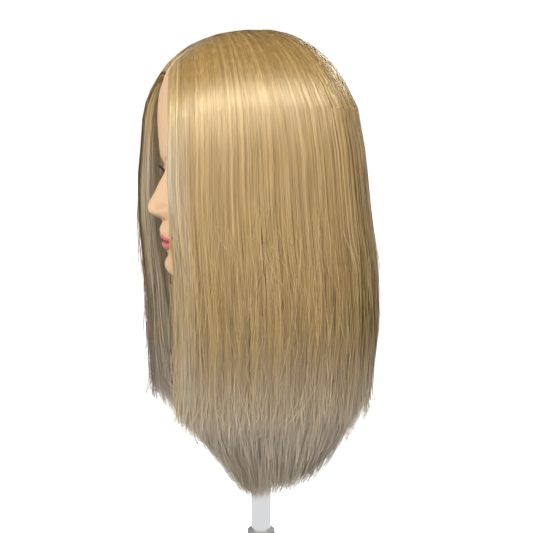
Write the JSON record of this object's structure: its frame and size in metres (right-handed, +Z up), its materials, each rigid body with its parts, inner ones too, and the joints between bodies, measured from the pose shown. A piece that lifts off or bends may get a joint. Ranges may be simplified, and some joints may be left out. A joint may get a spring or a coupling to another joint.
{
  "type": "mannequin training head",
  "caption": "Salon training head with long straight centre-parted blonde hair, on a chrome post that tilts, turns and clamps to a table edge.",
  "frame": {"origin": "on the post's axis, in the face of the upper jaw that rests on the table top", "axes": "+Z up along the post, the face looks along -Y, the head's left side is +X"},
  "size_m": [0.1764, 0.2327, 0.764],
  "materials": {
    "cast_frame": "matte",
    "black_rubber": "matte",
    "brass_bush": "satin",
    "zinc_steel": "satin",
    "nylon_washer": "matte",
    "knob_plastic": "satin",
    "chrome_tube": "polished",
    "black_steel": "satin",
    "turned_steel": "satin",
    "black_plastic": "satin",
    "vinyl_skin": "satin",
    "foam": "matte",
    "lash_hair": "matte",
    "blonde_hair": "silky"
  },
  "bodies": {
    "clamp": {"clamp_frame": "cast_frame", "jaw_rubber": "black_rubber", "thread_bush": "brass_bush", "tilt_bolt": "zinc_steel", "tilt_washers": "nylon_washer"},
    "knob": {"tilt_knob": "knob_plastic", "knob_nut": "brass_bush"},
    "post": {"post_knuckle": "cast_frame", "post_tube": "chrome_tube", "post_set_screws": "black_steel", "top_plug": "turned_steel", "friction_disc": "nylon_washer", "spigot_washer": "zinc_steel", "spigot_screw": "black_steel"},
    "swivel": {"swivel_spigot": "black_plastic", "grip_rings": "black_rubber"},
    "head": {"head_skin": "vinyl_skin", "foam_core": "foam", "neck_socket": "black_plastic", "base_plate": "black_plastic", "base_screws": "zinc_steel", "left_eyelashes": "lash_hair", "right_eyelashes": "lash_hair", "hair_left_front": "blonde_hair", "hair_left_side": "blonde_hair", "hair_left_back": "blonde_hair", "hair_right_front": "blonde_hair", "hair_right_side": "blonde_hair", "hair_right_back": "blonde_hair", "hair_nape": "blonde_hair"},
    "pad": {"swivel_pad": "zinc_steel", "pad_rubber": "black_rubber"},
    "screw": {"clamp_screw": "turned_steel"},
    "bar": {"t_bar": "chrome_tube", "t_bar_caps": "knob_plastic"}
  },
  "joints": [
    {"name": "tilt", "type": "hinge", "parent": "clamp", "child": "post", "pos_m": [0, 0, 0.038], "axis": [1, 0, 0], "range_deg": [-60, 60]},
    {"name": "knob_turn", "type": "hinge", "parent": "clamp", "child": "knob", "pos_m": [0.02, 0, 0.038], "axis": [1, 0, 0], "range_deg": [0, 180]},
    {"name": "head_turn", "type": "hinge", "parent": "post", "child": "swivel", "pos_m": [0, 0, 0.25], "axis": [0, 0, 1], "continuous": true},
    {"name": "head_lift", "type": "slide", "parent": "swivel", "child": "head", "axis": [0, 0, 1], "range_m": [0, 0.09]},
    {"name": "pad_travel", "type": "slide", "parent": "clamp", "child": "pad", "axis": [0, 0, 1], "range_m": [0, 0.045]},
    {"name": "screw_turn", "type": "hinge", "parent": "pad", "child": "screw", "pos_m": [0, 0, -0.1], "axis": [0, 0, 1], "range_deg": [0, 5400]},
    {"name": "bar_slide", "type": "slide", "parent": "screw", "child": "bar", "axis": [1, 0, 0], "range_m": [-0.037, 0.037]}
  ],
  "couplings": [
    {"joint": "screw_turn", "follows": "pad_travel", "rad_per_m": 2094.4}
  ]
}
